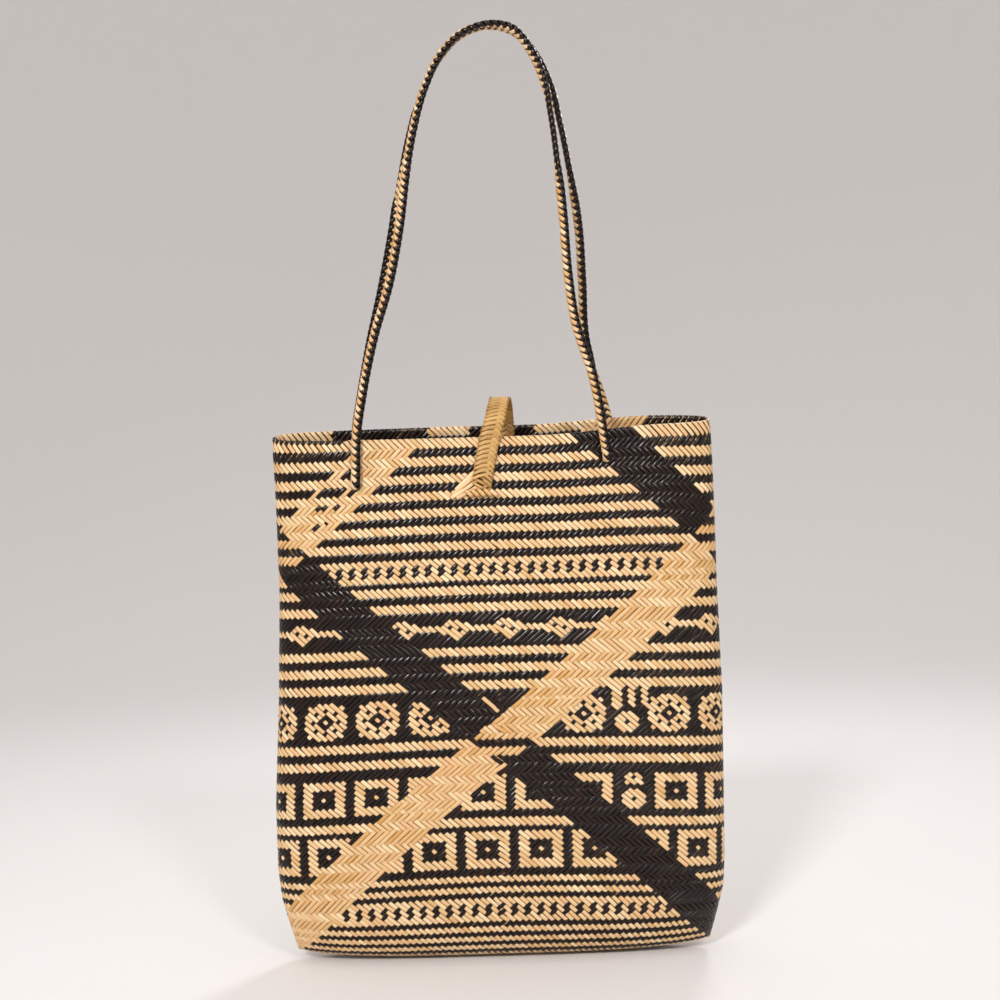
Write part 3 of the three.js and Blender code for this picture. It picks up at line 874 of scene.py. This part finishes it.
def rattan(name, pale, deep, tint, edge, roughness, gloss):
    """Split rattan: the strand's outer skin, scraped and rubbed. The eye gets a satin skin with fine
    fibre lines along each strand, a tone of its own for each strand, slow changes along it, patches of a
    second tint, and darker edges that are painted shade for the dark gaps between neighbouring strands."""
    made = bpy.data.materials.new(name)
    made.use_nodes = True
    tree = made.node_tree
    shader = tree.nodes["Principled BSDF"]
    lay = node(tree, "ShaderNodeAttribute", attribute_name="lay")
    parts = node(tree, "ShaderNodeSeparateXYZ", [(lay.outputs["Vector"], 0)])
    along, across, tone = parts.outputs
    strand = node(tree, "ShaderNodeMath", [(tone, 0)], operation="MULTIPLY", in_1=STRANDS_APART)
    place = node(tree, "ShaderNodeCombineXYZ", [(along, 0), (across, 1), (strand.outputs[0], 2)])

    # Fibre lines, by their length along the strand and their spacing across it
    fibre_map = node(tree, "ShaderNodeMapping", [(place.outputs[0], 0)],
                     in_Scale=(1 / FIBRE_LENGTH, STRAND_WIDTH / 2 / FIBRE_SPACING, 1.0))
    fibres = node(tree, "ShaderNodeTexNoise", [(fibre_map.outputs[0], 0)], in_Scale=1.0, in_Detail=2.0)

    # The strand's own tone, slow changes along it and the fibre lines added up
    slow_map = node(tree, "ShaderNodeMapping", [(place.outputs[0], 0)],
                    in_Scale=(1 / SLOW_LENGTH, EVEN_ACROSS, 1.0))
    slow = node(tree, "ShaderNodeTexNoise", [(slow_map.outputs[0], 0)], in_Scale=1.0, in_Detail=1.0)
    mixed = node(tree, "ShaderNodeMath", [(tone, 0), (slow.outputs[0], 1)], operation="ADD")
    lined = node(tree, "ShaderNodeMath", [(fibres.outputs[0], 0), (mixed.outputs[0], 2)],
                 operation="MULTIPLY_ADD", in_1=FIBRE_SHARE)
    shade = node(tree, "ShaderNodeMapRange", [(lined.outputs[0], 0)], in_1=TONE_RANGE[0], in_2=TONE_RANGE[1])
    colour = node(tree, "ShaderNodeMix", [(shade.outputs[0], 0)], data_type="RGBA", in_6=linear(pale),
                  in_7=linear(deep))

    # Patches of the second tint on some strands
    patch_map = node(tree, "ShaderNodeMapping", [(place.outputs[0], 0)], in_Location=PATCH_START,
                     in_Scale=(1 / PATCH_LENGTH, EVEN_ACROSS, PATCH_APART))
    patches = node(tree, "ShaderNodeTexNoise", [(patch_map.outputs[0], 0)], in_Scale=1.0, in_Detail=1.0)
    patch = node(tree, "ShaderNodeMapRange", [(patches.outputs[0], 0)], in_1=PATCH_RANGE[0],
                 in_2=PATCH_RANGE[1], in_4=PATCH_STRENGTH)
    tinted = node(tree, "ShaderNodeMix", [(patch.outputs[0], 0), (colour.outputs[2], 6)], data_type="RGBA",
                  in_7=linear(tint))

    # Painted shade over the outer 15% of the width on each side, darker towards the edge, for the dark gaps
    # between neighbouring strands
    side = node(tree, "ShaderNodeMath", [(across, 0)], operation="ABSOLUTE")
    rim = node(tree, "ShaderNodeMapRange", [(side.outputs[0], 0)], in_1=EDGE_SHADE_FROM, in_2=1.0,
               in_4=EDGE_SHADE_STRENGTH)
    edge_shaded = node(tree, "ShaderNodeMix", [(rim.outputs[0], 0), (tinted.outputs[2], 6)], data_type="RGBA",
                 in_7=linear(edge))
    tree.links.new(edge_shaded.outputs[2], shader.inputs["Base Color"])
    bump = node(tree, "ShaderNodeBump", [(fibres.outputs[0], "Height")], in_Strength=FIBRE_BUMP,
                in_Distance=FIBRE_DEPTH * MM)
    tree.links.new(bump.outputs[0], shader.inputs["Normal"])
    shader.inputs["Roughness"].default_value = roughness
    shader.inputs["Specular IOR Level"].default_value = gloss
    return made


def wall_pieces(natural, black):
    """The bag itself, from rim fold to base, in six pieces: the strands of each colour in two halves, and its
    mends. The mends follow the lines of the strands that they cover, a little further out."""
    falling, rising = wall_strands(1), wall_strands(-1)
    lines, faces = [np.concatenate(both) for both in zip(falling, rising)]
    numbers = np.arange(STRANDS)
    dark = np.concatenate([strand_groups(numbers, BLACK_FALLING), ~strand_groups(numbers, NATURAL_RISING)])
    tone = np.repeat([FALLING_TONE, RISING_TONE], STRANDS) + TONE_SPREAD * rng.random(len(lines))
    width = STRAND_WIDTH * (1 + WIDTH_SPREAD * (rng.random(len(lines)) - 0.5))
    rows = strand_rows()
    lean = hand_wave(len(lines), rows, LEAN, LEAN_ROWS)
    for name, finish, slot, chosen in (
        ("natural_strands", natural, "natural_rattan", np.flatnonzero(~dark)),
        ("black_strands", black, "black_rattan", np.flatnonzero(dark)),
    ):
        for half, ids in enumerate(np.array_split(chosen, 2)):
            part = ribbons(lines[ids], faces[ids], width[ids], STRAND_THICK, tone[ids], lean[ids])
            piece(f"{name}_{half + 1}", [part], finish, slot, "bag_body")

    for name, finish, slot, mends, strands in (
        ("black_mends", black, "black_rattan", BLACK_MENDS, rising),
        ("natural_mends", natural, "natural_rattan", NATURAL_MENDS, falling),
    ):
        parts = []
        for number, first, last in mends:
            at = (rows >= first - MEND_OVERRUN) & (rows <= last + MEND_OVERRUN)
            line, face = [v[number % STRANDS, at][None] for v in strands]
            parts.append(ribbons(line + MEND_RISE * face, face, STRAND_WIDTH, STRAND_THICK, rng.random()))
        piece(name, parts, finish, slot, "bag_body")


def handle_pieces(name, hang, side, twist, natural, black):
    """A two-tone plait with a dark core and a stop knot at each end inside the wall."""
    points = handle_route(hang, side)
    length, line, along = route(points)
    across, face = handle_frames(length, along, twist)
    path = (length, line, across, face)
    size = (HANDLE_HALF_WIDTH, HANDLE_HALF_THICK, HANDLE_PITCH, HANDLE_STROKE, HANDLE_STRAND_WIDTH,
            HANDLE_STRAND_THICK)
    dark = [
        plait_strokes(path, 1, 0, size),
        core(line, face, HANDLE_HALF_WIDTH - HANDLE_CORE_INSET, HANDLE_HALF_THICK),
        stop_knot(points[0]),
        stop_knot(points[-1]),
    ]
    piece(f"{name}_black", dark, black, "black_rattan", name)
    pale = [plait_strokes(path, -1, HANDLE_PITCH / 2, size)]
    piece(f"{name}_natural", pale, natural, "natural_rattan", name)


def strap_piece(natural):
    """The closure: a flat plait of natural strands, long strokes from its left edge and short ones from its
    right, rounded off and a little open at its tip."""
    length, line, along = route(strap_route())
    across, face = frames_across(along, np.array([[1.0, 0.0, 0.0]]))
    path = (length, line, across, face)
    open_from = length[-1] - TIP_OPEN

    def tip(at):
        return np.sqrt(1 - smooth_step(at, length[-1] - TIP_LENGTH, length[-1] + TIP_LENGTH / 2))

    def width(at):
        return STRAP_STRAND_WIDTH * np.where(at > open_from, TIP_STRAND, 1)

    parts = []
    for side, first, stroke in ((1, 0, STRAP_RIGHT_STROKE), (-1, STRAP_PITCH / 2, STRAP_LEFT_STROKE)):
        size = (STRAP_HALF_WIDTH, STRAP_HALF_THICK, STRAP_PITCH, stroke, width, STRAP_STRAND_THICK)
        parts.append(plait_strokes(path, side, first, size, STRAP_MEETING, tip, STRAP_TONE))
    closed = length < open_from
    parts.append(core(line[closed], face[closed], STRAP_HALF_WIDTH - STRAP_CORE_INSET, STRAP_HALF_THICK))
    piece("closure_plait", parts, natural, "natural_rattan", "closure_strap")


def keeper_piece(natural):
    """The keeper: strands that lie on the wall, fanned out from under the strap, and stitches that climb
    over its tip by a smooth step from each end."""
    share = np.linspace(-1, 1, KEEPER_SAMPLES)
    parts = []
    for strands, over in ((KEEPER_FAN, 0.0), (KEEPER_STITCHES, KEEPER_OVER)):
        climb = over * smooth_step(1 - np.abs(share), 0, KEEPER_RAMP)
        for places in strands:
            x, z = [np.interp(share, [-1, 0, 1], v) for v in np.array(places, float).T]
            line = side_by_side(x, wall_depth(x, z, FRONT) - KEEPER_STAND - climb, z)[None]
            faces = np.broadcast_to(TO_FRONT, line.shape)
            parts.append(ribbons(line, faces, KEEPER_STRAND_WIDTH, KEEPER_STRAND_THICK, rng.random()))
    piece("keeper_strands", parts, natural, "natural_rattan", "closure_loop")


def studio_floor():
    """A floor, flat under the bag and rising by a quarter of an ellipse far out: height by one less the
    cosine. Its matt white paint gives the eye an even pale ground with no shine."""
    flat = np.linspace(0, FLOOR_FLAT, FLAT_RINGS)
    rising = np.linspace(FLOOR_FLAT, FLOOR_RADIUS, RISING_RINGS)[1:]
    radius = np.concatenate([flat, rising])[:, None]
    swing = np.arcsin(np.clip((radius - FLOOR_FLAT) / (FLOOR_RADIUS - FLOOR_FLAT), 0, 1))
    angle = np.linspace(0, 2 * np.pi, FLOOR_SIDES + 1)[:-1]
    height = cad_box[0][2] / MM - FLOOR_GAP + FLOOR_RISE * (1 - np.cos(swing))
    points = side_by_side(radius * np.cos(angle), radius * np.sin(angle), height)
    quads = ring_faces(np.arange(len(radius) * FLOOR_SIDES).reshape(-1, FLOOR_SIDES))
    mesh = bpy.data.meshes.new("studio_floor")
    mesh.from_pydata((points.reshape(-1, 3) * MM).tolist(), [], quads.tolist())
    mesh.polygons.foreach_set("use_smooth", np.ones(len(quads), bool))
    paint = bpy.data.materials.new("matt_white_paint")
    paint.use_nodes = True
    shader = paint.node_tree.nodes["Principled BSDF"]
    shader.inputs["Base Color"].default_value = linear(FLOOR_PAINT)
    shader.inputs["Roughness"].default_value = FLOOR_ROUGHNESS
    mesh.materials.append(paint)
    obj = bpy.data.objects.new("studio_floor", mesh)
    bpy.context.scene.collection.objects.link(obj)


def soft_light(name, place, size, power):
    """A square soft light at a place in millimetres, turned to the middle of the bag, with a grid that
    keeps it off the floor between."""
    lamp = bpy.data.lights.new(name, "AREA")
    lamp.size = size * MM
    lamp.spread = LIGHT_SPREAD
    lamp.energy = power
    obj = bpy.data.objects.new(name, lamp)
    place = Vector(place) * MM
    towards = Vector((0, 0, PHOTO_CENTRE[1] * MM)) - place
    obj.matrix_world = Matrix.Translation(place) @ towards.to_track_quat("-Z", "Y").to_matrix().to_4x4()
    bpy.context.scene.collection.objects.link(obj)


def pale_room():
    """Even pale light from all round, with colours shown as they are."""
    world = bpy.data.worlds.new("pale_room")
    world.use_nodes = True
    background = world.node_tree.nodes["Background"]
    background.inputs["Color"].default_value = linear(ROOM_COLOUR)
    background.inputs["Strength"].default_value = ROOM_STRENGTH
    bpy.context.scene.world = world
    bpy.context.scene.view_settings.view_transform = "Standard"


def camera():
    """A camera level in front of the bag, rolled by the photograph's tilt. Its lens is to the sensor as its
    distance is to the width of the view."""
    lens = bpy.data.cameras.new("camera")
    lens.sensor_width = SENSOR
    lens.lens = SENSOR * CAMERA_DISTANCE / PHOTO_WIDTH
    obj = bpy.data.objects.new("camera", lens)
    place = Vector((PHOTO_CENTRE[0], -CAMERA_DISTANCE, PHOTO_CENTRE[1])) * MM
    level = Matrix.Rotation(np.pi / 2, 4, "X")
    obj.matrix_world = Matrix.Translation(place) @ level @ Matrix.Rotation(-PHOTO_TILT, 4, "Z")
    bpy.context.scene.collection.objects.link(obj)
    bpy.context.scene.camera = obj


# The edge colours of these finishes are painted shade for the dark gaps between neighbouring strands
# Plain scraped rattan: straw and honey strands with a soft shine
natural_rattan = rattan("split_rattan_natural", pale="#F2DAB0", deep="#C8954F", tint="#DFB080",
                        edge="#6A421E", roughness=0.42, gloss=0.4)
# Rattan dyed before plaiting: brown black and smoother, so that each strand carries a narrow highlight
black_rattan = rattan("split_rattan_dyed_black", pale="#21140E", deep="#120A07", tint="#2B1A13",
                      edge="#050303", roughness=0.21, gloss=0.3)
# Plain rattan darkened by handling: yellower and deeper than that of the wall
weathered_rattan = rattan("split_rattan_weathered", pale="#E0B87C", deep="#AD8147", tint="#CFA457",
                          edge="#7E562A", roughness=0.4, gloss=0.4)
wall_pieces(natural_rattan, black_rattan)
handle_pieces("front_handle", FRONT_HANDLE, FRONT, FRONT_TWIST, natural_rattan, black_rattan)
handle_pieces("back_handle", BACK_HANDLE, BACK, BACK_TWIST, natural_rattan, black_rattan)
strap_piece(weathered_rattan)
keeper_piece(natural_rattan)
studio_floor()
for light in LIGHTS:
    soft_light(*light)
pale_room()
camera()
